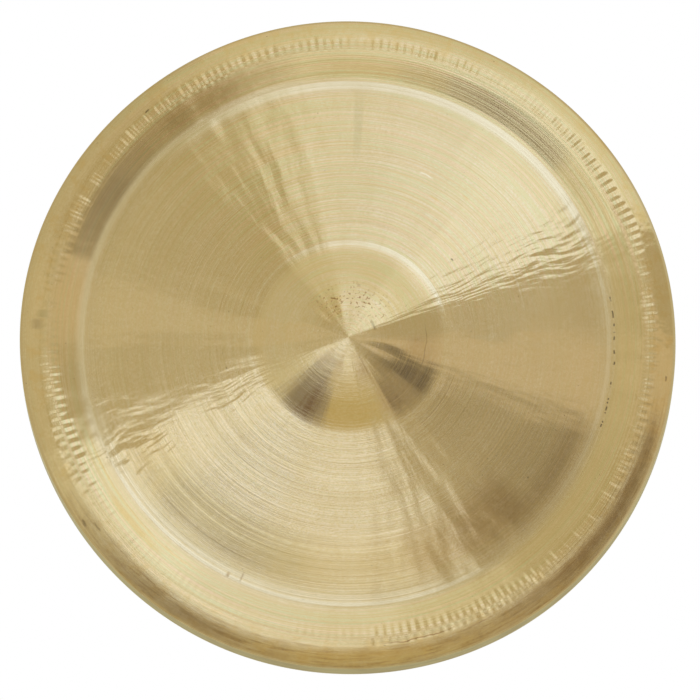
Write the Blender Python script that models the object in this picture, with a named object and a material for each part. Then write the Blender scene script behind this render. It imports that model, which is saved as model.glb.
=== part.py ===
# Hung gong: one hammered and turned brass plate with a raised cup in the middle,
# a shallow cone round it, a rounded band with a low crest, and a rim turned back.
# Metres, +Z up. The gong hangs upright, its struck face towards -Y.
import math

import bmesh
import bpy

# Driving dimensions, all of the front surface unless a note says otherwise
MOUTH_DIAMETER = 0.560      # outside of the turned-back rim at its open back edge
SHOULDER_DIAMETER = 0.552   # corner where the band and the turned-back rim would meet
CREST_DIAMETER = 0.508      # highest line of the band, where the hammer marks run
FACE_DIAMETER = 0.452       # hollow line between the cone and the band
CUP_DIAMETER = 0.172        # foot of the raised middle
WALL = 0.0022               # thickness of the plate
CUP_RISE = 0.011            # top of the cup above its foot
CONE_RISE = 0.010           # foot of the cup above the hollow line
CREST_RISE = 0.005          # crest of the band above the hollow line
SHOULDER_DROP = 0.001       # corner of the rim below the hollow line
RIM_DEPTH = 0.029           # corner of the rim to the open back edge

# Rounding of each corner of the section
CUP_FOOT_RADIUS = 0.060
HOLLOW_RADIUS = 0.016
CREST_RADIUS = 0.060
SHOULDER_RADIUS = 0.016

# Two holes for the hanging cord, through the turned-back rim
HOLE_DIAMETER = 0.008
HOLE_SPACING = 0.144        # centre to centre, straight across
HOLE_INSET = 0.013          # centre of each hole from the open back edge

# Fineness of the round shapes
TURN_STEPS = 96
CUP_STEPS = 6
FOOT_STEPS = 2
HOLLOW_STEPS = 2
CREST_STEPS = 4
SHOULDER_STEPS = 6
HOLE_STEPS = 24

FILLET_SHARE = 0.45         # most of a straight stretch that one corner's rounding takes
CUTTER_REACH = 0.02         # how far a hole's cutter stands out on each side of the rim
MERGE_DISTANCE = 0.00001


# Points on a circle from one angle to another, both ends included
def arc(centre, radius, start, end, steps):
    angles = [start + (end - start) * i / steps for i in range(steps + 1)]
    return [(centre[0] + radius * math.cos(a), centre[1] + radius * math.sin(a)) for a in angles]


# The turn from one direction to another, the short way round
def short_turn(start, end):
    return (end - start + math.pi) % (2 * math.pi) - math.pi


def unit(start, end):
    run = (end[0] - start[0], end[1] - start[1])
    length = math.hypot(*run)
    return (run[0] / length, run[1] / length), length


# Arc that rounds one corner of the section
def rounded_corner(before, corner, after, radius, steps):
    u, u_length = unit(corner, before)
    v, v_length = unit(corner, after)
    half = math.acos(u[0] * v[0] + u[1] * v[1]) / 2
    reach = min(radius / math.tan(half), FILLET_SHARE * min(u_length, v_length))
    radius = reach * math.tan(half)
    middle, _ = unit((0.0, 0.0), (u[0] + v[0], u[1] + v[1]))
    out = radius / math.sin(half)
    centre = (corner[0] + middle[0] * out, corner[1] + middle[1] * out)
    first = (corner[0] + u[0] * reach, corner[1] + u[1] * reach)
    last = (corner[0] + v[0] * reach, corner[1] + v[1] * reach)
    start = math.atan2(first[1] - centre[1], first[0] - centre[0])
    end = math.atan2(last[1] - centre[1], last[0] - centre[0])
    return arc(centre, radius, start, start + short_turn(start, end), steps)


# The cup's round top, and the fillet that blends its foot into the cone
def cup_section(foot, hollow):
    dome_radius = (foot[0] ** 2 + CUP_RISE ** 2) / (2 * CUP_RISE)
    dome_centre = (0.0, foot[1] + CUP_RISE - dome_radius)
    along, _ = unit(foot, hollow)
    normal = (-along[1], along[0])
    # The fillet's centre lies one radius in front of the cone, and one radius outside the dome
    lifted = (foot[0] + normal[0] * CUP_FOOT_RADIUS, foot[1] + normal[1] * CUP_FOOT_RADIUS)
    offset = (lifted[0] - dome_centre[0], lifted[1] - dome_centre[1])
    b = offset[0] * along[0] + offset[1] * along[1]
    c = offset[0] ** 2 + offset[1] ** 2 - (dome_radius + CUP_FOOT_RADIUS) ** 2
    slide = math.sqrt(b * b - c) - b
    centre = (lifted[0] + along[0] * slide, lifted[1] + along[1] * slide)
    from_dome = math.atan2(centre[1] - dome_centre[1], centre[0] - dome_centre[0])
    to_dome = from_dome - math.pi
    to_cone = math.atan2(-normal[1], -normal[0])
    dome = arc(dome_centre, dome_radius, math.pi / 2, from_dome, CUP_STEPS)
    dome[0] = (0.0, foot[1] + CUP_RISE)
    blend = arc(centre, CUP_FOOT_RADIUS, to_dome, to_dome + short_turn(to_dome, to_cone), FOOT_STEPS)
    return dome + blend[1:]


# Front surface from the middle of the cup to the open back edge, as (radius, height)
def front_section():
    foot = (CUP_DIAMETER / 2, CONE_RISE)
    hollow = (FACE_DIAMETER / 2, 0.0)
    crest = (CREST_DIAMETER / 2, CREST_RISE)
    shoulder = (SHOULDER_DIAMETER / 2, -SHOULDER_DROP)
    edge = (MOUTH_DIAMETER / 2, -SHOULDER_DROP - RIM_DEPTH)
    points = cup_section(foot, hollow)
    points += rounded_corner(foot, hollow, crest, HOLLOW_RADIUS, HOLLOW_STEPS)
    points += rounded_corner(hollow, crest, shoulder, CREST_RADIUS, CREST_STEPS)
    points += rounded_corner(crest, shoulder, edge, SHOULDER_RADIUS, SHOULDER_STEPS)
    points.append(edge)
    height = max(point[1] for point in points)
    middle = (height + edge[1]) / 2
    return [(radius, height - middle) for radius, height in points]


# The same line one wall behind, from the open back edge to the middle
def back_section(front):
    points = [(0.0, front[0][1] - WALL)]
    for before, point, after in zip(front, front[1:], front[2:]):
        arriving = math.atan2(point[1] - before[1], point[0] - before[0])
        leaving = math.atan2(after[1] - point[1], after[0] - point[0])
        direction = (arriving + leaving) / 2
        depth = WALL / math.cos((leaving - arriving) / 2)
        points.append((point[0] + math.sin(direction) * depth, point[1] - math.cos(direction) * depth))
    # The open edge is ground flat, so its inner corner lies level with the outer one
    edge = front[-1]
    along, _ = unit(front[-2], edge)
    points.append((edge[0] + WALL / along[1], edge[1]))
    return points[::-1]


def brass():
    material = bpy.data.materials.new("turned_brass")
    material.use_nodes = True
    shader = material.node_tree.nodes["Principled BSDF"]
    shader.inputs["Base Color"].default_value = (0.66, 0.53, 0.29, 1.0)
    shader.inputs["Metallic"].default_value = 1.0
    shader.inputs["Roughness"].default_value = 0.32
    return material


# The section turned once round the gong's axis, then stood upright
def turned_plate(name, section):
    mesh = bpy.data.meshes.new(name)
    outline = bmesh.new()
    corners = [outline.verts.new((radius, 0.0, height)) for radius, height in section]
    for first, second in zip(corners, corners[1:]):
        outline.edges.new((first, second))
    outline.to_mesh(mesh)
    outline.free()
    plate = bpy.data.objects.new(name, mesh)
    bpy.context.collection.objects.link(plate)
    turn = plate.modifiers.new("turned", "SCREW")
    turn.axis = "Z"
    turn.angle = 2 * math.pi
    turn.steps = TURN_STEPS
    turn.render_steps = TURN_STEPS
    turn.use_merge_vertices = True
    turn.merge_threshold = MERGE_DISTANCE
    turn.use_smooth_shade = True
    plate.rotation_euler = (math.pi / 2, 0.0, 0.0)
    return plate


# A pin through the turned-back rim, pointing at the gong's axis, to one side of the top
def hole_cutter(name, side, front):
    corner, edge = front[-2:]
    height = edge[1] + HOLE_INSET
    rim_radius = edge[0] + (corner[0] - edge[0]) * HOLE_INSET / (corner[1] - edge[1])
    angle = side * math.asin(HOLE_SPACING / 2 / rim_radius)
    mesh = bpy.data.meshes.new(name)
    pin = bmesh.new()
    bmesh.ops.create_cone(pin, cap_ends=True, segments=HOLE_STEPS, radius1=HOLE_DIAMETER / 2,
                          radius2=HOLE_DIAMETER / 2, depth=2 * CUTTER_REACH)
    pin.to_mesh(mesh)
    pin.free()
    cutter = bpy.data.objects.new(name, mesh)
    bpy.context.collection.objects.link(cutter)
    cutter.location = (rim_radius * math.sin(angle), -height, rim_radius * math.cos(angle))
    cutter.rotation_euler = (0.0, angle, 0.0)
    cutter.hide_render = True
    cutter.display_type = "WIRE"
    return cutter


def cut(plate, cutter):
    boolean = plate.modifiers.new(cutter.name, "BOOLEAN")
    boolean.operation = "DIFFERENCE"
    boolean.object = cutter
    boolean.solver = "EXACT"


def build():
    for old in list(bpy.data.objects):
        bpy.data.objects.remove(old)
    front = front_section()
    plate = turned_plate("gong_plate", front + back_section(front))
    plate.data.materials.append(brass())
    for name, side in (("left_hole", -1), ("right_hole", 1)):
        cut(plate, hole_cutter(name, side, front))


build()
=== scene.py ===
import math

import bmesh
import bpy
import numpy as np
from mathutils import Matrix, Vector


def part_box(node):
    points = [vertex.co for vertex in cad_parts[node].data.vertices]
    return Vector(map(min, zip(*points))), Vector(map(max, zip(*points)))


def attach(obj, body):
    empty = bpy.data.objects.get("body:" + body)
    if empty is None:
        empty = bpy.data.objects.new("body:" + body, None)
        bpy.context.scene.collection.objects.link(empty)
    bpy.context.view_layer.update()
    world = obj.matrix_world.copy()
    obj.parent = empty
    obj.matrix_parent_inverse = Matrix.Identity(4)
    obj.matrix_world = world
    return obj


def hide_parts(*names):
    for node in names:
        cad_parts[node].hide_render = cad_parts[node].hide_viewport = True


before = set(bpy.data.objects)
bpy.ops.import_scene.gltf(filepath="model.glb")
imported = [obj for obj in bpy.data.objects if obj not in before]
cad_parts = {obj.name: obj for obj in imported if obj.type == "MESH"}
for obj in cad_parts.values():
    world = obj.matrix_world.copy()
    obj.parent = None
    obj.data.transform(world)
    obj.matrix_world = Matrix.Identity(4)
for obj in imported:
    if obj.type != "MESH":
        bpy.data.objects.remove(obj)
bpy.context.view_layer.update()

print("frame loaded")


# Points on a circle from one angle to another, both ends included
def arcPoints(centre, radius, start, end, steps):
    angles = [start + (end - start) * i / steps for i in range(steps + 1)]
    return [(centre[0] + radius * math.cos(a), centre[1] + radius * math.sin(a)) for a in angles]


def shortTurn(start, end):
    return (end - start + math.pi) % (2 * math.pi) - math.pi


def unitRun(start, end):
    run = (end[0] - start[0], end[1] - start[1])
    length = math.hypot(*run)
    return (run[0] / length, run[1] / length), length


# Arc that rounds one corner of the section
def cornerArc(before, corner, after, radius, steps):
    u, uLength = unitRun(corner, before)
    v, vLength = unitRun(corner, after)
    half = math.acos(u[0] * v[0] + u[1] * v[1]) / 2
    reach = min(radius / math.tan(half), 0.45 * min(uLength, vLength))
    radius = reach * math.tan(half)
    middle, _ = unitRun((0.0, 0.0), (u[0] + v[0], u[1] + v[1]))
    centre = (corner[0] + middle[0] * radius / math.sin(half), corner[1] + middle[1] * radius / math.sin(half))
    start = math.atan2(corner[1] + u[1] * reach - centre[1], corner[0] + u[0] * reach - centre[0])
    end = math.atan2(corner[1] + v[1] * reach - centre[1], corner[0] + v[0] * reach - centre[0])
    return arcPoints(centre, radius, start, start + shortTurn(start, end), steps)


# Sizes of the plate, in metres; the rim and the depth come from the frame.
# Each row of the profile: the radius where a stretch ends, how steeply the front falls away there in degrees,
# and the rows of points along it
rimLow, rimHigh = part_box("gong_plate")
plateSizes = {
    "mouthRadius": (rimHigh.x - rimLow.x) / 2,
    "frontY": rimLow.y,
    "backY": rimHigh.y,
    "profile": (
        (0.0662, 14.0, 20),     # cup
        (0.0762, 9.0, 5),
        (0.0848, 0.9, 5),
        (0.0864, 3.3, 1),
        (0.1605, 3.3, 14),      # face
        (0.2066, 4.7, 9),
        (0.2243, 0.0, 7),       # hollow line
        (0.2300, -9.3, 6),
        (0.2440, -9.3, 5),      # band
        (0.2500, -6.5, 3),
        (0.2550, 0.0, 3),       # crest
        (0.2605, 3.0, 3),
        (0.2720, 13.5, 6),
    ),
    "hollowRadius": 0.2247,
    "crestRadius": 0.2545,
    "shoulderRadius": 0.2778,
    "shoulderRound": 0.0072,
    "wall": 0.0022,
    "turnSteps": 360,
}


# Front line of the section as (radius, y), from the middle of the cup to the open back edge
def frontLine(s):
    line = [(0.0, 0.0)]
    slope = 0.0
    for endRadius, endSlope, rows in s["profile"]:
        startRadius, startSlope = line[-1][0], slope
        for i in range(1, rows + 1):
            radius = startRadius + (endRadius - startRadius) * i / rows
            nextSlope = startSlope + (endSlope - startSlope) * i / rows
            fall = math.tan(math.radians((slope + nextSlope) / 2)) * (radius - line[-1][0])
            line.append((radius, line[-1][1] - fall))
            slope = nextSlope
    last = line[-1]
    fall = math.tan(math.radians(slope)) * (s["shoulderRadius"] - last[0])
    shoulder = (s["shoulderRadius"], last[1] - fall)
    edge = (s["mouthRadius"], s["frontY"] - s["backY"])
    line += cornerArc(last, shoulder, edge, s["shoulderRound"], 10)
    start = line[-1]
    steps = 9
    line += [(start[0] + (edge[0] - start[0]) * i / steps, start[1] + (edge[1] - start[1]) * i / steps)
             for i in range(1, steps + 1)]
    return [(radius, s["frontY"] - height) for radius, height in line]


# The same line one wall behind, with every second row left out, from the open edge to the middle
def backLine(front, wall):
    line = [(0.0, front[0][1] + wall)]
    for before, point, after in list(zip(front, front[1:], front[2:]))[::2]:
        arriving = math.atan2(point[1] - before[1], point[0] - before[0])
        leaving = math.atan2(after[1] - point[1], after[0] - point[0])
        direction = (arriving + leaving) / 2
        depth = wall / math.cos((leaving - arriving) / 2)
        line.append((point[0] - math.sin(direction) * depth, point[1] + math.cos(direction) * depth))
    along, _ = unitRun(front[-2], front[-1])
    line.append((front[-1][0] - wall / along[1], front[-1][1]))
    return line[::-1]


def deselectAll():
    if bpy.context.object and bpy.context.object.mode != "OBJECT":
        bpy.ops.object.mode_set(mode="OBJECT")
    bpy.ops.object.select_all(action="DESELECT")


# Selects the faces whose centre passes a test, and leaves the piece in edit mode
def selectFaces(piece, test):
    bpy.ops.object.mode_set(mode="EDIT")
    bpy.ops.mesh.select_all(action="DESELECT")
    bpy.ops.object.mode_set(mode="OBJECT")
    for face in piece.data.polygons:
        face.select = test(face)
    bpy.ops.object.mode_set(mode="EDIT")


# One corner point is pulled along the section, and the line is spun round the gong's axis
def spinPlate(name, line, steps):
    deselectAll()
    bpy.ops.mesh.primitive_plane_add(size=0.01, location=(0.0, line[0][1], line[0][0]))
    plate = bpy.context.object
    plate.name = name
    bpy.ops.object.transform_apply(location=True, rotation=True, scale=True)
    bpy.ops.object.mode_set(mode="EDIT")
    bpy.ops.mesh.select_mode(type="VERT")
    bpy.ops.mesh.merge(type="CENTER")
    for (radius, y), (nextRadius, nextY) in zip(line, line[1:]):
        move = (0.0, nextY - y, nextRadius - radius)
        bpy.ops.mesh.extrude_region_move(TRANSFORM_OT_translate={"value": move})
    bpy.ops.mesh.select_all(action="SELECT")
    bpy.ops.mesh.spin(steps=steps, angle=2 * math.pi, center=(0.0, 0.0, 0.0), axis=(0.0, 1.0, 0.0))
    bpy.ops.mesh.select_all(action="SELECT")
    bpy.ops.mesh.remove_doubles(threshold=0.00001)
    bpy.ops.mesh.normals_make_consistent(inside=False)
    bpy.ops.object.mode_set(mode="OBJECT")
    return plate


# Two round holes for the cord, drilled through the turned-back rim
holeSizes = {"radius": 0.004, "spacing": 0.144, "inset": 0.013, "rimRadius": 0.2782}


def drillHoles(plate, s):
    for side in (-1, 1):
        angle = side * math.asin(s["spacing"] / 2 / s["rimRadius"])
        place = (s["rimRadius"] * math.sin(angle), plateSizes["backY"] - s["inset"], s["rimRadius"] * math.cos(angle))
        deselectAll()
        bpy.ops.mesh.primitive_cylinder_add(vertices=32, radius=s["radius"], depth=0.03,
                                            location=place, rotation=(0.0, angle, 0.0))
        drill = bpy.context.object
        deselectAll()
        plate.select_set(True)
        bpy.context.view_layer.objects.active = plate
        cut = plate.modifiers.new("hole", "BOOLEAN")
        cut.object = drill
        cut.operation = "DIFFERENCE"
        cut.solver = "EXACT"
        bpy.ops.object.modifier_apply(modifier="hole")
        bpy.data.objects.remove(drill)


# How the hammer left the plate: marks on the crest, long waves across the face, a rim out of round
hammerWork = {
    "markCount": 236,
    "markDepth": 0.00006,
    "markHalfLength": 0.0058,
    "crestWander": 0.0008,
    "lengthen": 0.5,             # how much longer the marks are on the far side of the lean
    "refineHalf": 0.0098,
    "lean": (0.0040, 25.0),      # the marks sit farther out at this turn
    "markZones": ((28, 18, 1.2), (57, 12, 3.8), (100, 30, 1.2), (157, 17, 2.7), (253, 10, 3.0), (318, 30, 2.0), (5, 16, 2.0)),
    "waveSlope": 0.016,
    "waveCells": 72,
    "dentDepth": 0.00012,
    "roundness": ((2, 0.0009, 1.55), (3, 0.0006, 4.1), (5, 0.0004, 0.6)),
    "seed": 11,
}


def smoothStep(x):
    x = np.clip(x, 0.0, 1.0)
    return x * x * (3 - 2 * x)


# Smooth random waves, closed round the gong: cells round the turn by cells along the radius
def ringNoise(rng, cellsRound, cellsOut, azimuth, out):
    grid = rng.uniform(-1.0, 1.0, (cellsRound, cellsOut + 2))
    u = azimuth / (2 * math.pi) * cellsRound
    v = np.clip(out, 0.0, 0.9999) * cellsOut
    i = np.floor(u).astype(int)
    j = np.floor(v).astype(int)
    fu = smoothStep(u - i)
    fv = smoothStep(v - j)
    low = grid[i % cellsRound, j] * (1 - fu) + grid[(i + 1) % cellsRound, j] * fu
    high = grid[i % cellsRound, j + 1] * (1 - fu) + grid[(i + 1) % cellsRound, j + 1] * fu
    return low * (1 - fv) + high * fv


def hammerPlate(plate, h, s):
    rng = np.random.default_rng(h["seed"])
    points = np.empty(len(plate.data.vertices) * 3)
    plate.data.vertices.foreach_get("co", points)
    points = points.reshape(-1, 3)
    x, y, z = points.T
    radius = np.hypot(x, z)
    azimuth = np.arctan2(x, z) % (2 * math.pi)
    share = radius / s["mouthRadius"]
    push = np.zeros(len(radius))
    # Marks side by side on the crest, each a short dent along the radius
    turn = azimuth / (2 * math.pi) * h["markCount"] + 0.35 * ringNoise(rng, 40, 1, azimuth, share * 0)
    markIndex = np.floor(turn).astype(int) % h["markCount"]
    strength = rng.uniform(0.3, 0.95, h["markCount"])[markIndex]
    shiftOut = rng.uniform(-0.0011, 0.0011, h["markCount"])[markIndex]
    halfLength = h["markHalfLength"] * rng.uniform(0.75, 1.1, h["markCount"])[markIndex]
    crest = s["crestRadius"] + h["crestWander"] * ringNoise(rng, 9, 1, azimuth, share * 0)
    lean, leanTurn = h["lean"]
    toward = np.cos(azimuth - math.radians(leanTurn))
    crest = crest + lean * toward
    away = smoothStep(0.5 - 0.5 * toward)
    across = (radius - crest - shiftOut) / (halfLength * (1 + h["lengthen"] * away))
    for middle, halfWidth, extra in h["markZones"]:
        off = np.abs((np.degrees(azimuth) - middle + 180) % 360 - 180)
        strength = strength + extra * smoothStep(1.5 - off / halfWidth) * strength
    push += h["markDepth"] * strength * np.exp(-across ** 4) * (0.5 - 0.5 * np.cos(2 * math.pi * turn))
    # Long waves across the face, steep round the turn and slow along the radius
    fade = smoothStep((radius - 0.012) / 0.05) * (1 - smoothStep((radius - 0.262) / 0.012))
    waves = ringNoise(rng, h["waveCells"], 5, azimuth, share) + 0.6 * ringNoise(rng, 2 * h["waveCells"], 7, azimuth, share)
    push += waves * h["waveSlope"] * radius / h["waveCells"] * fade
    # Broad dents all over
    push += h["dentDepth"] * ringNoise(rng, 26, 9, azimuth, share) * smoothStep(radius / 0.03)
    scale = np.ones(len(radius))
    for order, amount, phase in h["roundness"]:
        scale += amount / s["mouthRadius"] * np.cos(order * azimuth + phase) * smoothStep((share - 0.2) / 0.8)
    still = np.isclose(y, s["backY"], atol=1e-6)
    points[:, 1] = np.where(still, y, y + push)
    points[:, 0] = x * scale
    points[:, 2] = z * scale
    plate.data.vertices.foreach_set("co", points.ravel())
    plate.data.update()


# More points where the hammer marks run
def refineCrest(plate, h, s):
    lean, leanTurn = h["lean"]

    def onCrest(face):
        centre = face.center
        radius = math.hypot(centre.x, centre.z)
        toward = math.cos(math.atan2(centre.x, centre.z) - math.radians(leanTurn))
        return abs(radius - s["crestRadius"] - lean * toward) < h["refineHalf"] and face.normal.y < -0.5
    selectFaces(plate, onCrest)
    bpy.ops.mesh.subdivide(number_cuts=2)
    bpy.ops.object.mode_set(mode="OBJECT")


def makePlate():
    front = frontLine(plateSizes)
    plate = spinPlate("gong", front + backLine(front, plateSizes["wall"]), plateSizes["turnSteps"])
    drillHoles(plate, holeSizes)
    deselectAll()
    plate.select_set(True)
    bpy.context.view_layer.objects.active = plate
    refineCrest(plate, hammerWork, plateSizes)
    hammerPlate(plate, hammerWork, plateSizes)
    deselectAll()
    plate.select_set(True)
    bpy.context.view_layer.objects.active = plate
    bpy.ops.object.shade_smooth_by_angle(angle=math.radians(40))
    return plate


# A socket with Python's operators, so that shader maths reads as plain expressions
class Wire:
    def __init__(self, nodes, socket):
        self.nodes = nodes
        self.socket = socket

    def maths(self, operation, *others):
        return self.nodes.add("ShaderNodeMath", {"operation": operation}, [self, *others])

    def __add__(self, other):
        return self.maths("ADD", other)

    def __sub__(self, other):
        return self.maths("SUBTRACT", other)

    def __mul__(self, other):
        return self.maths("MULTIPLY", other)

    def __truediv__(self, other):
        return self.maths("DIVIDE", other)

    def __rsub__(self, other):
        return self.nodes.add("ShaderNodeMath", {"operation": "SUBTRACT"}, [other, self])

    __radd__ = __add__
    __rmul__ = __mul__


class NodeSet:
    def __init__(self, tree):
        self.tree = tree

    # Any node: its settings first, then the values or wires of its sockets
    def add(self, kind, settings=None, values=(), output=0):
        node = self.tree.nodes.new(kind)
        for key, value in (settings or {}).items():
            if key == "stops":
                ramp = node.color_ramp
                while len(ramp.elements) < len(value):
                    ramp.elements.new(0.5)
                for element, (place, colour) in zip(ramp.elements, value):
                    element.position = place
                    element.color = (*colour, 1.0)
            else:
                setattr(node, key, value)
        pairs = values.items() if isinstance(values, dict) else enumerate(values)
        for key, value in pairs:
            if isinstance(value, Wire):
                self.tree.links.new(value.socket, node.inputs[key])
            else:
                node.inputs[key].default_value = value
        return None if output is None else Wire(self, node.outputs[output])

    # 0 below low, 1 above high, smooth between
    def rise(self, value, low, high):
        return self.add("ShaderNodeMapRange", {"interpolation_type": "SMOOTHSTEP"}, {0: value, 1: low, 2: high})

    # 1 at the middle, falling to 0 at the half width
    def bump(self, value, middle, halfWidth):
        away = (value - middle).maths("ABSOLUTE")
        return 1 - self.rise(away, 0.0, halfWidth)

    def noise(self, vector, scale, detail=2.0, roughness=0.5):
        return self.add("ShaderNodeTexNoise", {"noise_dimensions": "3D"},
                        {"Vector": vector, "Scale": scale, "Detail": detail, "Roughness": roughness})

    def split(self, vector):
        node = self.tree.nodes.new("ShaderNodeSeparateXYZ")
        self.tree.links.new(vector.socket, node.inputs[0])
        return [Wire(self, output) for output in node.outputs]

    def vector(self, x, y, z):
        return self.add("ShaderNodeCombineXYZ", None, [x, y, z])

    def mix(self, share, first, second):
        settings = {"data_type": "RGBA", "blend_type": "MIX"}
        return self.add("ShaderNodeMix", settings, {0: share, 6: first, 7: second}, output=2)


# Linear colours of the metal, and the sizes of its turning marks, in metres.
# Each stain or patch of painted shade: turn clockwise from the top and its half, radius and its half, colour and
# strength
brassLook = {
    "gold": (0.84, 0.745, 0.52, 1.0),
    "paleGold": (0.90, 0.82, 0.60, 1.0),
    "deepGold": (0.79, 0.66, 0.36, 1.0),
    "bandGold": (0.84, 0.72, 0.435, 1.0),
    "rose": (0.87, 0.71, 0.47, 1.0),
    "green": (0.77, 0.75, 0.45, 1.0),
    "cream": (0.97, 0.92, 0.70, 1.0),
    "amber": (0.80, 0.61, 0.27, 1.0),
    "olive": (0.60, 0.54, 0.30, 1.0),
    "backBrown": (0.50, 0.38, 0.19, 1.0),
    "backGold": (0.70, 0.58, 0.33, 1.0),
    "heatBrown": (0.40, 0.25, 0.10, 1.0),
    "ochre": (0.80, 0.58, 0.20, 1.0),
    "rimOlive": (0.62, 0.56, 0.315, 1.0),
    "rimBrown": (0.46, 0.37, 0.175, 1.0),
    "rimPale": (0.78, 0.72, 0.46, 1.0),
    "rimGap": 0.0016,
    "pitDark": (0.10, 0.07, 0.04, 1.0),
    "grooveGap": 0.0013,
    "grooveDepth": 0.000026,
    "scratchGap": 0.0002,
    "scratchDepth": 0.000033,
    "rippleTurn": 2.3,          # degrees round the turn
    "rippleLength": 0.022,
    "rippleLean": 0.15,
    "rippleDepth": 0.0013,      # for a metre of radius
    "rippleZones": ((62, 9, 1.0), (157, 10, 0.3), (246, 8, 0.8), (332, 14, 0.3)),
    "broadTurn": 6.5,
    "broadLength": 0.055,
    "broadDepth": 0.0040,
    "broadZones": ((160, 17, 0.6), (332, 16, 0.6)),
    # Each painted highlight ring, a pale line along an edge where the profile bends: turn and its half; where it
    # starts, is full, stays full and ends; strength
    "paintedHighlightRings": (
        (20, 52, 0.0770, 0.0832, 0.0844, 0.0856, 0.6),
        (290, 60, 0.0825, 0.0842, 0.0850, 0.0862, 0.15),
        (298, 50, 0.2222, 0.2250, 0.2288, 0.2325, 0.5),
        (95, 34, 0.2180, 0.2198, 0.2210, 0.2230, 0.45),
        (95, 36, 0.2742, 0.2764, 0.3, 0.31, 0.45),
        (42, 27, 0.0815, 0.0838, 0.0844, 0.0854, 0.5),
        (12, 52, 0.2155, 0.2205, 0.2242, 0.2258, 0.85),
        (198, 46, 0.2212, 0.2234, 0.2248, 0.2260, 0.85),
        (205, 46, 0.2150, 0.2185, 0.2198, 0.2212, 0.5),
    ),
    "peenGap": 0.010,
    "peenDepth": 0.00012,
    "roughness": 0.06,
    "stainsAndPaintedShade": (
        (122, 15, 0.2680, 0.0050, "heatBrown", 0.5),
        (140, 12, 0.2665, 0.0050, "heatBrown", 0.35),
        (164, 7, 0.2665, 0.0040, "heatBrown", 0.25),
        (177, 10, 0.2670, 0.0040, "ochre", 0.3),
        (206, 6, 0.2690, 0.0035, "heatBrown", 0.3),
        (327, 8, 0.2400, 0.0130, "heatBrown", 0.45),
        (298, 11, 0.2380, 0.0110, "cream", 0.3),
        (182, 18, 0.1950, 0.0220, "olive", 0.18),
        (157, 9, 0.0290, 0.0130, "heatBrown", 0.35),
        # A darker band just outside the cup's edge on the left: painted shade
        (285, 50, 0.0760, 0.0050, "deepGold", 0.4),
        (339, 8, 0.2400, 0.0120, "heatBrown", 0.25),
        (142, 8, 0.1900, 0.0260, "heatBrown", 0.5),
        (158, 6, 0.1900, 0.0240, "heatBrown", 0.35),
        (214, 22, 0.1900, 0.0220, "olive", 0.45),
        (200, 45, 0.1900, 0.0240, "ochre", 0.2),
        (312, 24, 0.2660, 0.0090, "heatBrown", 0.12),
        (122, 10, 0.2080, 0.0120, "heatBrown", 0.22),
        (98, 9, 0.0600, 0.0150, "heatBrown", 0.3),
        (328, 20, 0.0300, 0.0150, "amber", 0.3),
        (214, 22, 0.0240, 0.0110, "heatBrown", 0.3),
        (167, 5, 0.2590, 0.0005, "heatBrown", 0.9),
        (229, 6, 0.2394, 0.0035, "ochre", 0.45),
        (231, 16, 0.2335, 0.0012, "ochre", 0.4),
        (273, 0.8, 0.2640, 0.0050, "pitDark", 0.25),
        (275, 0.6, 0.2600, 0.0050, "olive", 0.6),
        (36, 25, 0.2365, 0.0080, "olive", 0.35),
        (2.5, 1.0, 0.1850, 0.0260, "olive", 0.45),
        (25, 1.8, 0.1565, 0.0008, "cream", 0.9),
        (31, 1.5, 0.1420, 0.0012, "ochre", 0.4),
        (39, 1.0, 0.1580, 0.0008, "ochre", 0.35),
        (52, 0.5, 0.1107, 0.0008, "pitDark", 0.7),
        (96, 14, 0.0660, 0.0005, "pitDark", 0.35),
        (63, 9, 0.0235, 0.0012, "pitDark", 0.6),
        (204, 0.2, 0.2200, 0.0040, "heatBrown", 0.6),
        (207, 0.3, 0.2235, 0.0025, "heatBrown", 0.6),
        (319, 0.4, 0.2623, 0.0008, "pitDark", 0.7),
        (97, 0.4, 0.2700, 0.0008, "pitDark", 0.6),
        (235, 0.6, 0.2710, 0.0012, "pitDark", 0.5),
        (233, 0.8, 0.2642, 0.0008, "pitDark", 0.4),
    ),
}


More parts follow.
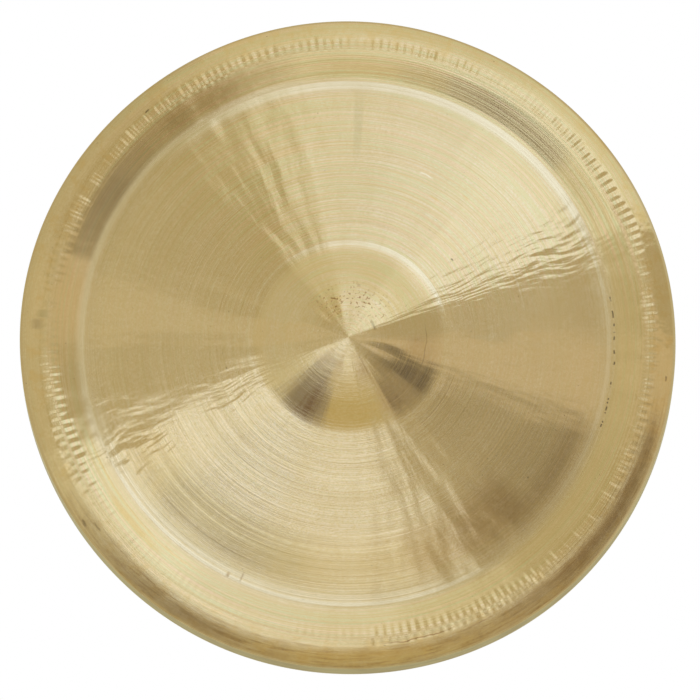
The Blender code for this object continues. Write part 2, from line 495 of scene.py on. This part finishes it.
def brassMaterial(look, s):
    material = bpy.data.materials.new("turnedBrass")
    material.use_nodes = True
    tree = material.node_tree
    tree.nodes.clear()
    n = NodeSet(tree)
    place = n.add("ShaderNodeTexCoord", output=3)
    x, y, z = n.split(place)
    flat = n.vector(x, 0.0, z)
    trueRadius = n.add("ShaderNodeVectorMath", {"operation": "LENGTH"}, [flat], output=1)
    sine, _, cosine = n.split(n.add("ShaderNodeVectorMath", {"operation": "NORMALIZE"}, [flat]))
    # The turning marks run a little off their circles
    radius = trueRadius + (n.noise(place, 4.0, 1.0) - 0.5) * 0.0012

    # Turning marks: noise that runs fast along the radius and slowly round the turn
    def turned(gap, roundScale, detail, shift=0.0):
        return n.noise(n.vector(radius / gap + shift, sine * roundScale, cosine * roundScale), 1.0, detail)

    # 1 within a half turn of a direction, in degrees
    def facing(turn, half, soft):
        along = sine * math.sin(math.radians(turn)) + cosine * math.cos(math.radians(turn))
        return n.rise(along, math.cos(math.radians(half + soft)), math.cos(math.radians(max(half - soft, 0.0))))

    groove = turned(look["grooveGap"], 0.8, 1.0)
    scratch = turned(look["scratchGap"], 0.6, 1.0)
    depthMap = n.rise(n.noise(place, 7.0, 2.0), 0.35, 0.65)
    rimStart = frontLine(s)[-10][1]
    onRim = n.rise(y, rimStart - 0.003, rimStart + 0.002)
    onBand = n.bump(trueRadius, s["hollowRadius"] + 0.018, 0.020)
    # Hammering has left ripples that run along the radius
    perCell = 1 / math.radians(look["rippleTurn"])
    outward = trueRadius / look["rippleLength"]
    lean = (n.noise(place, 14.0, 1.0) - 0.5) * look["rippleLean"]
    ripple = n.noise(n.vector(outward, (sine + lean) * perCell, (cosine - lean) * perCell), 1.0, 1.5, 0.5)
    perBroad = 1 / math.radians(look["broadTurn"])
    broad = n.noise(n.vector(trueRadius / look["broadLength"] + 7.0, (sine + lean * 0.6) * perBroad,
                             (cosine - lean * 0.6) * perBroad), 1.0, 1.0, 0.35)
    broadly = 0.0
    for turn, half, strength in look["broadZones"]:
        broadly = facing(turn, half, half * 0.6) * strength + broadly
    broadly = broadly * (1 - n.rise(trueRadius, 0.212, 0.232))
    rippled = 0.15
    for turn, half, strength in look["rippleZones"]:
        rippled = facing(turn, half, half * 0.6) * (strength - 0.15) + rippled
    rippled = rippled * (1 - n.rise(trueRadius, 0.215, 0.228) * 0.6) * (n.rise(n.noise(place, 11.0, 1.0), 0.3, 0.6) + 0.3)
    peen = n.noise(place, 1 / look["peenGap"], 2.0) * n.rise(trueRadius, 0.252, 0.262)
    onCrest = n.bump(trueRadius, s["crestRadius"], 0.011)
    height = groove * look["grooveDepth"] * (depthMap + 0.5 + onBand * facing(38, 26, 8) * 3.5 + onCrest * 2)
    height = height + scratch * look["scratchDepth"] + ripple * trueRadius * rippled * look["rippleDepth"]
    height = height + broad * trueRadius * broadly * look["broadDepth"]
    height = height + peen * look["peenDepth"]
    cloud = n.noise(place, 9.0, 4.0, 0.6)
    specks = n.noise(place, 420.0, 2.0, 0.5)

    # Fine lines of slightly unlike metal: paler, deeper, rosy and greenish; they are painted clearer in the two sectors
    # where the light is strong, a painted sheen
    lineStrengthInLight = facing(12, 58, 12) * 1.7 + onBand * (facing(200, 55, 12) * 1.5 + 1.2) + 0.5
    beyondFace = n.rise(trueRadius, s["hollowRadius"] - 0.004, s["hollowRadius"] + 0.004)
    colour = n.mix(beyondFace, look["gold"], look["bandGold"])
    colour = n.mix(n.rise(turned(0.009, 1.5, 3.0, 3.3), 0.3, 0.7) * 0.4, colour, look["paleGold"])
    colour = n.mix(n.rise(turned(0.0010, 1.1, 1.0, 7.1), 0.45, 0.6) * lineStrengthInLight * 0.45, colour, look["deepGold"])
    colour = n.mix(n.rise(turned(0.0014, 1.0, 1.0, 11.7), 0.5, 0.6) * lineStrengthInLight * 0.4, colour, look["rose"])
    colour = n.mix(n.rise(turned(0.0018, 1.2, 1.0, 17.9), 0.5, 0.6) * lineStrengthInLight * 0.4, colour, look["green"])
    colour = n.mix(n.rise(cloud, 0.52, 0.76) * 0.35, colour, look["deepGold"])

    # Short strokes on the cup and the band, mottling beyond the crest and a fine grain all over
    worked = 1 - n.bump(trueRadius, 0.155, 0.075)
    strokes = n.rise(turned(0.0012, 16.0, 2.0, 23.3), 0.45, 0.7)
    colour = n.mix(strokes * worked * 0.45, colour, look["deepGold"])
    beyondCrest = n.rise(trueRadius, s["crestRadius"] - 0.006, s["crestRadius"] + 0.004)
    mottle = n.rise(n.noise(place, 80.0, 3.0, 0.7), 0.48, 0.68)
    colour = n.mix(mottle * beyondCrest * 0.6, colour, look["amber"])
    lowerSlope = n.rise(trueRadius, s["crestRadius"] + 0.002, s["crestRadius"] + 0.009) * facing(172, 66, 14)
    smudges = n.rise(n.noise(n.vector(trueRadius * 110, sine * 11, cosine * 11), 1.0, 4.0, 0.65), 0.42, 0.66)
    colour = n.mix(smudges * lowerSlope * 0.35, colour, look["heatBrown"])
    smears = n.rise(turned(0.0022, 9.0, 4.0, 41.0), 0.5, 0.66)
    colour = n.mix(smears * lowerSlope * 0.5, colour, look["heatBrown"])
    # Pale gold smears on the lower slope below the crest: painted highlights
    colour = n.mix(n.rise(turned(0.0030, 7.0, 4.0, 53.0), 0.5, 0.66) * lowerSlope * 0.5, colour, look["paleGold"])
    colour = n.mix(n.rise(n.noise(place, 120.0, 3.0, 0.7), 0.4, 0.65) * 0.22, colour, look["deepGold"])
    colour = n.mix(n.rise(n.noise(place, 520.0, 2.0, 0.7), 0.35, 0.65) * 0.5, colour, look["deepGold"])
    # Pale rings along the bends of the profile, in the turns where the light falls: painted highlights
    for turn, half, begin, full, stay, finish, strength in look["paintedHighlightRings"]:
        highlightRing = n.rise(radius, begin, full) * (1 - n.rise(radius, stay, finish)) * facing(turn, half, 8)
        colour = n.mix(highlightRing * strength, colour, look["cream"])

    # Stains, and a band of painted shade just outside the cup's edge, with ragged edges
    ragged = n.noise(place, 70.0, 3.0, 0.6) - 0.5
    raggedRadius = trueRadius + ragged * 0.004
    grain = n.rise(n.noise(place, 130.0, 3.0, 0.6), 0.3, 0.6)
    for turn, half, middle, halfWidth, paint, strength in look["stainsAndPaintedShade"]:
        patch = n.bump(raggedRadius, middle, halfWidth * 1.6) * facing(turn, half, min(half * 0.5, 6))
        colour = n.mix(patch * (grain * 0.3 + 0.7) * strength, colour, look[paint])
    dashes = n.bump(raggedRadius, s["hollowRadius"] + 0.0005, 0.0011) * facing(96, 16, 2)
    dashes = dashes * n.rise(n.noise(n.vector(0.0, sine * 60, cosine * 60), 1.0, 1.0), 0.5, 0.56)
    colour = n.mix(dashes * 0.9, colour, look["pitDark"])
    inCup = 1 - n.rise(trueRadius, 0.070, 0.088)
    colour = n.mix(n.rise(n.noise(place, 42.0, 3.0, 0.65), 0.45, 0.65) * inCup * 0.3, colour, look["deepGold"])
    cupPits = n.bump(trueRadius, 0.033, 0.022) * facing(8, 45, 25) * n.rise(n.noise(place, 400.0, 2.0, 0.6), 0.60, 0.64)
    colour = n.mix(cupPits * 0.9, colour, look["heatBrown"])
    pits = n.rise(specks, 0.74, 0.80)
    colour = n.mix(pits * 0.6, colour, look["pitDark"])
    # The back is plainer and more oxidised
    normal = n.add("ShaderNodeTexCoord", output=1)
    inward = n.add("ShaderNodeVectorMath", {"operation": "DOT_PRODUCT"}, [normal, n.vector(sine, 0.0, cosine)], output=1)
    onBack = n.rise(n.split(normal)[1], 0.1, 0.4).maths("MAXIMUM", n.rise(inward * -1, 0.3, 0.6))
    backColour = n.mix(n.rise(n.noise(place, 14.0, 5.0, 0.65), 0.35, 0.65), look["backGold"], look["backBrown"])
    backColour = n.mix(n.rise(turned(0.003, 1.0, 2.0, 31.0), 0.4, 0.65) * 0.4, backColour, look["backGold"])
    # The rim is darker, clouded by the fire and drawn with lines round it
    rimClouds = n.rise(n.noise(place, 24.0, 4.0, 0.65), 0.38, 0.66)
    rimLines = n.rise(n.noise(n.vector(y / look["rimGap"], sine * 2.5, cosine * 2.5), 1.0, 2.0), 0.42, 0.66)
    rimColour = n.mix(rimClouds * 0.7, look["rimOlive"], look["rimBrown"])
    rimColour = n.mix(rimLines * 0.5, rimColour, look["rimPale"])
    colour = n.mix(onRim, colour, rimColour)
    colour = n.mix(onBack * (1 - onRim * 0.4), colour, backColour)
    onEdge = n.rise(y, s["backY"] - 0.0022, s["backY"] - 0.0012)
    colour = n.mix(onEdge * 0.5, colour, look["paleGold"])
    rough = look["roughness"] + 0.04 * n.rise(cloud, 0.4, 0.7) + 0.15 * onRim + 0.2 * onBack + 0.17 * lowerSlope

    shader = tree.nodes.new("ShaderNodeBsdfPrincipled")
    output = tree.nodes.new("ShaderNodeOutputMaterial")
    relief = n.add("ShaderNodeBump", None, {"Distance": 1.0, "Filter Width": 0.03, "Height": height})
    shader.inputs["Metallic"].default_value = 1.0
    tree.links.new(colour.socket, shader.inputs["Base Color"])
    tree.links.new(rough.socket, shader.inputs["Roughness"])
    tree.links.new(relief.socket, shader.inputs["Normal"])
    tree.links.new(shader.outputs[0], output.inputs[0])
    return material


# The camera stands a little below the gong's axis
viewSizes = {"distance": 3.2, "below": 9.0, "lens": 193.9, "aimX": 0.00126, "aimZ": -0.00708}


def makeCamera(v):
    data = bpy.data.cameras.new("camera")
    data.lens = v["lens"]
    camera = bpy.data.objects.new("camera", data)
    bpy.context.collection.objects.link(camera)
    below = math.radians(v["below"])
    camera.location = (0.0, -v["distance"] * math.cos(below), -v["distance"] * math.sin(below))
    aim = Vector((v["aimX"], 0.0, v["aimZ"]))
    camera.rotation_euler = (aim - camera.location).to_track_quat("-Z", "Y").to_euler()
    bpy.context.scene.camera = camera


def softLight(name, place, aim, width, height, power):
    data = bpy.data.lights.new(name, "AREA")
    data.shape = "RECTANGLE"
    data.size = width
    data.size_y = height
    data.energy = power
    lamp = bpy.data.objects.new(name, data)
    bpy.context.collection.objects.link(lamp)
    lamp.location = place
    lamp.rotation_euler = (Vector(aim) - Vector(place)).to_track_quat("-Z", "Y").to_euler()
    lamp.visible_camera = False
    lamp.visible_glossy = False


# A round pale floor that fades out before its edge shows
floorLook = {"centreY": 0.4, "height": -0.85, "radius": 1.7, "fade": 0.6, "colour": (0.9, 0.9, 0.89, 1.0)}


def makeFloor(f):
    deselectAll()
    bpy.ops.mesh.primitive_circle_add(vertices=96, radius=f["radius"], fill_type="NGON",
                                      location=(0.0, f["centreY"], f["height"]))
    floor = bpy.context.object
    floor.name = "floor"
    material = bpy.data.materials.new("paleFloor")
    material.use_nodes = True
    tree = material.node_tree
    tree.nodes.clear()
    n = NodeSet(tree)
    place = n.add("ShaderNodeTexCoord", output=3)
    outward = n.add("ShaderNodeVectorMath", {"operation": "LENGTH"}, [place], output=1)
    pale = n.add("ShaderNodeBsdfPrincipled", None, {"Base Color": f["colour"], "Roughness": 0.8})
    clear = n.add("ShaderNodeBsdfTransparent")
    fading = n.rise(outward, f["radius"] - f["fade"], f["radius"] - 0.02)
    faded = n.add("ShaderNodeMixShader", None, [fading, pale, clear])
    n.add("ShaderNodeOutputMaterial", None, [faded], output=None)
    floor.data.materials.append(material)
    floor.visible_glossy = False


# The studio that the metal mirrors, drawn round the line along which a flat gong looks back at the camera.
# Each panel: turn from and to, clockwise from the top, and its softness; away from that line, from and to,
# and its softness, all in degrees; then its colour
studioLook = {
    "lineAbove": 9.0,
    "walls": (0.54, 0.47, 0.34),
    "panels": {
        "backdrop": (0, 360, 1, 118, 200, 12, (0.62, 0.57, 0.40)),
        "ceiling": (-25, 67, 3, 52, 100, 8, (0.60, 0.54, 0.42)),
        "softboxFar": (-25, 67, 3, 37, 54, 4, (0.68, 0.61, 0.48)),
        "softbox": (-25, 67, 1.5, 17, 38, 3, (0.76, 0.71, 0.58)),
        "softboxRight": (34, 67, 6, 17, 38, 3, (0.82, 0.78, 0.67)),
        "softboxSide": (-28, 0, 3, 6, 18, 2, (0.86, 0.80, 0.69)),
        "softboxNear": (-1, 67, 1.5, 6, 17, 2, (0.93, 0.92, 0.95)),
        "softboxNearRight": (34, 67, 6, 6, 17, 2, (1.04, 1.06, 1.12)),
        "softboxCore": (-12, 67, 3, 1.5, 6, 1.5, (1.0, 0.99, 1.05)),
        "rightWall": (67, 88, 1.5, 2, 42, 2, (0.495, 0.42, 0.285)),
        "roseScreen": (88, 108, 2.5, 2, 42, 2, (0.63, 0.52, 0.37)),
        "darkStandFar": (108, 155, 3, 38, 62, 6, (0.43, 0.33, 0.20)),
        "darkStand": (108, 155, 2.8, 4, 40, 2, (0.46, 0.38, 0.235)),
        "darkStandCore": (109, 150, 4, 12, 36, 4, (0.29, 0.235, 0.165)),
        "standEdge": (146, 165, 2.5, 17, 40, 3, (0.54, 0.44, 0.30)),
        "standLeft": (106, 127, 4, 20, 28, 5, (0.11, 0.09, 0.08)),
        "standGap": (129, 137, 3, 20, 28, 4, (0.40, 0.32, 0.21)),
        "standRight": (138, 146, 3, 24, 34, 3, (0.24, 0.175, 0.115)),
        "paleTable": (155, 202, 1.5, 4, 14, 2, (1.0, 0.98, 0.98)),
        "ochreTable": (155, 202, 1.5, 14, 40, 2, (0.58, 0.47, 0.25)),
        "tableFront": (155, 202, 2, 40, 70, 5, (0.46, 0.37, 0.21)),
        "paleTableLeft": (202, 232, 1.5, 4, 14, 2, (1.18, 1.20, 1.26)),
        "darkChairFar": (202, 232, 2, 40, 70, 5, (0.42, 0.35, 0.22)),
        "leftCornerNear": (232, 250, 1.5, 4, 13, 2, (1.15, 1.14, 1.18)),
        "leftCorner": (230, 250, 1.5, 13, 40, 3, (0.68, 0.62, 0.47)),
        "darkChair": (203, 229, 6, 12.5, 40, 3, (0.30, 0.255, 0.20)),
        "redCushion": (208, 216, 2, 21, 30, 2.5, (0.16, 0.09, 0.055)),
        "leftWallNear": (250, 333, 1.5, 1.5, 13, 2, (0.47, 0.385, 0.22)),
        "leftWall": (250, 333, 2, 13, 34, 3, (0.61, 0.54, 0.39)),
        "rosePost": (270, 286, 2, 3, 30, 2, (0.63, 0.54, 0.38)),
        "leftFade": (328, 348, 8, 13, 34, 3, (0.70, 0.64, 0.49)),
        "standInner": (137, 153, 4, 13.5, 20, 3, (0.60, 0.51, 0.35)),
        "standFade": (153, 161, 4, 12, 26, 4, (0.58, 0.50, 0.34)),
        "middle": (0, 360, 1, -9, 2, 1.5, (0.72, 0.67, 0.57)),
    },
}


# White for the camera and for what the floor receives; the metal mirrors the studio
def makeWorld(look):
    world = bpy.data.worlds.new("studio")
    bpy.context.scene.world = world
    world.use_nodes = True
    tree = world.node_tree
    tree.nodes.clear()
    n = NodeSet(tree)
    toward = n.add("ShaderNodeTexCoord", output=0)
    turned = n.add("ShaderNodeVectorRotate", {"rotation_type": "X_AXIS"},
                   {"Vector": toward, "Angle": math.radians(look["lineAbove"])})
    across, along, up = n.split(turned)
    away = (along * -1).maths("ARCCOSINE") * math.degrees(1.0)
    sine, _, cosine = n.split(n.add("ShaderNodeVectorMath", {"operation": "NORMALIZE"}, [n.vector(across, 0.0, up)]))
    colour = (*look["walls"], 1.0)
    for start, end, turnSoft, near, far, awaySoft, paint in look["panels"].values():
        mask = n.rise(away, near - awaySoft, near + awaySoft) * (1 - n.rise(away, far - awaySoft, far + awaySoft))
        if end - start < 360:
            middle, half = math.radians((start + end) / 2), (end - start) / 2
            facing = sine * math.sin(middle) + cosine * math.cos(middle)
            low = math.cos(math.radians(half + turnSoft))
            high = math.cos(math.radians(half - turnSoft))
            mask = mask * n.rise(facing, low, high)
        colour = n.mix(mask, colour, (*paint, 1.0))
    isGlossy = n.add("ShaderNodeLightPath", output=3)
    seen = n.mix(isGlossy, (1.0, 1.0, 1.0, 1.0), colour)
    sky = n.add("ShaderNodeBackground", None, [seen])
    n.add("ShaderNodeOutputWorld", None, [sky], output=None)


makeCamera(viewSizes)
makeWorld(studioLook)
makeFloor(floorLook)
softLight("topSoftbox", (0.9, -1.4, 2.4), (0.0, 0.0, 0.0), 1.2, 0.9, 6.0)
print("studio made")

gong = makePlate()
gong.data.materials.clear()
gong.data.materials.append(brassMaterial(brassLook, plateSizes))
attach(gong, "root")
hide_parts("gong_plate")
print("gong made:", len(gong.data.polygons), "faces")

bpy.context.scene.view_settings.view_transform = "Standard"
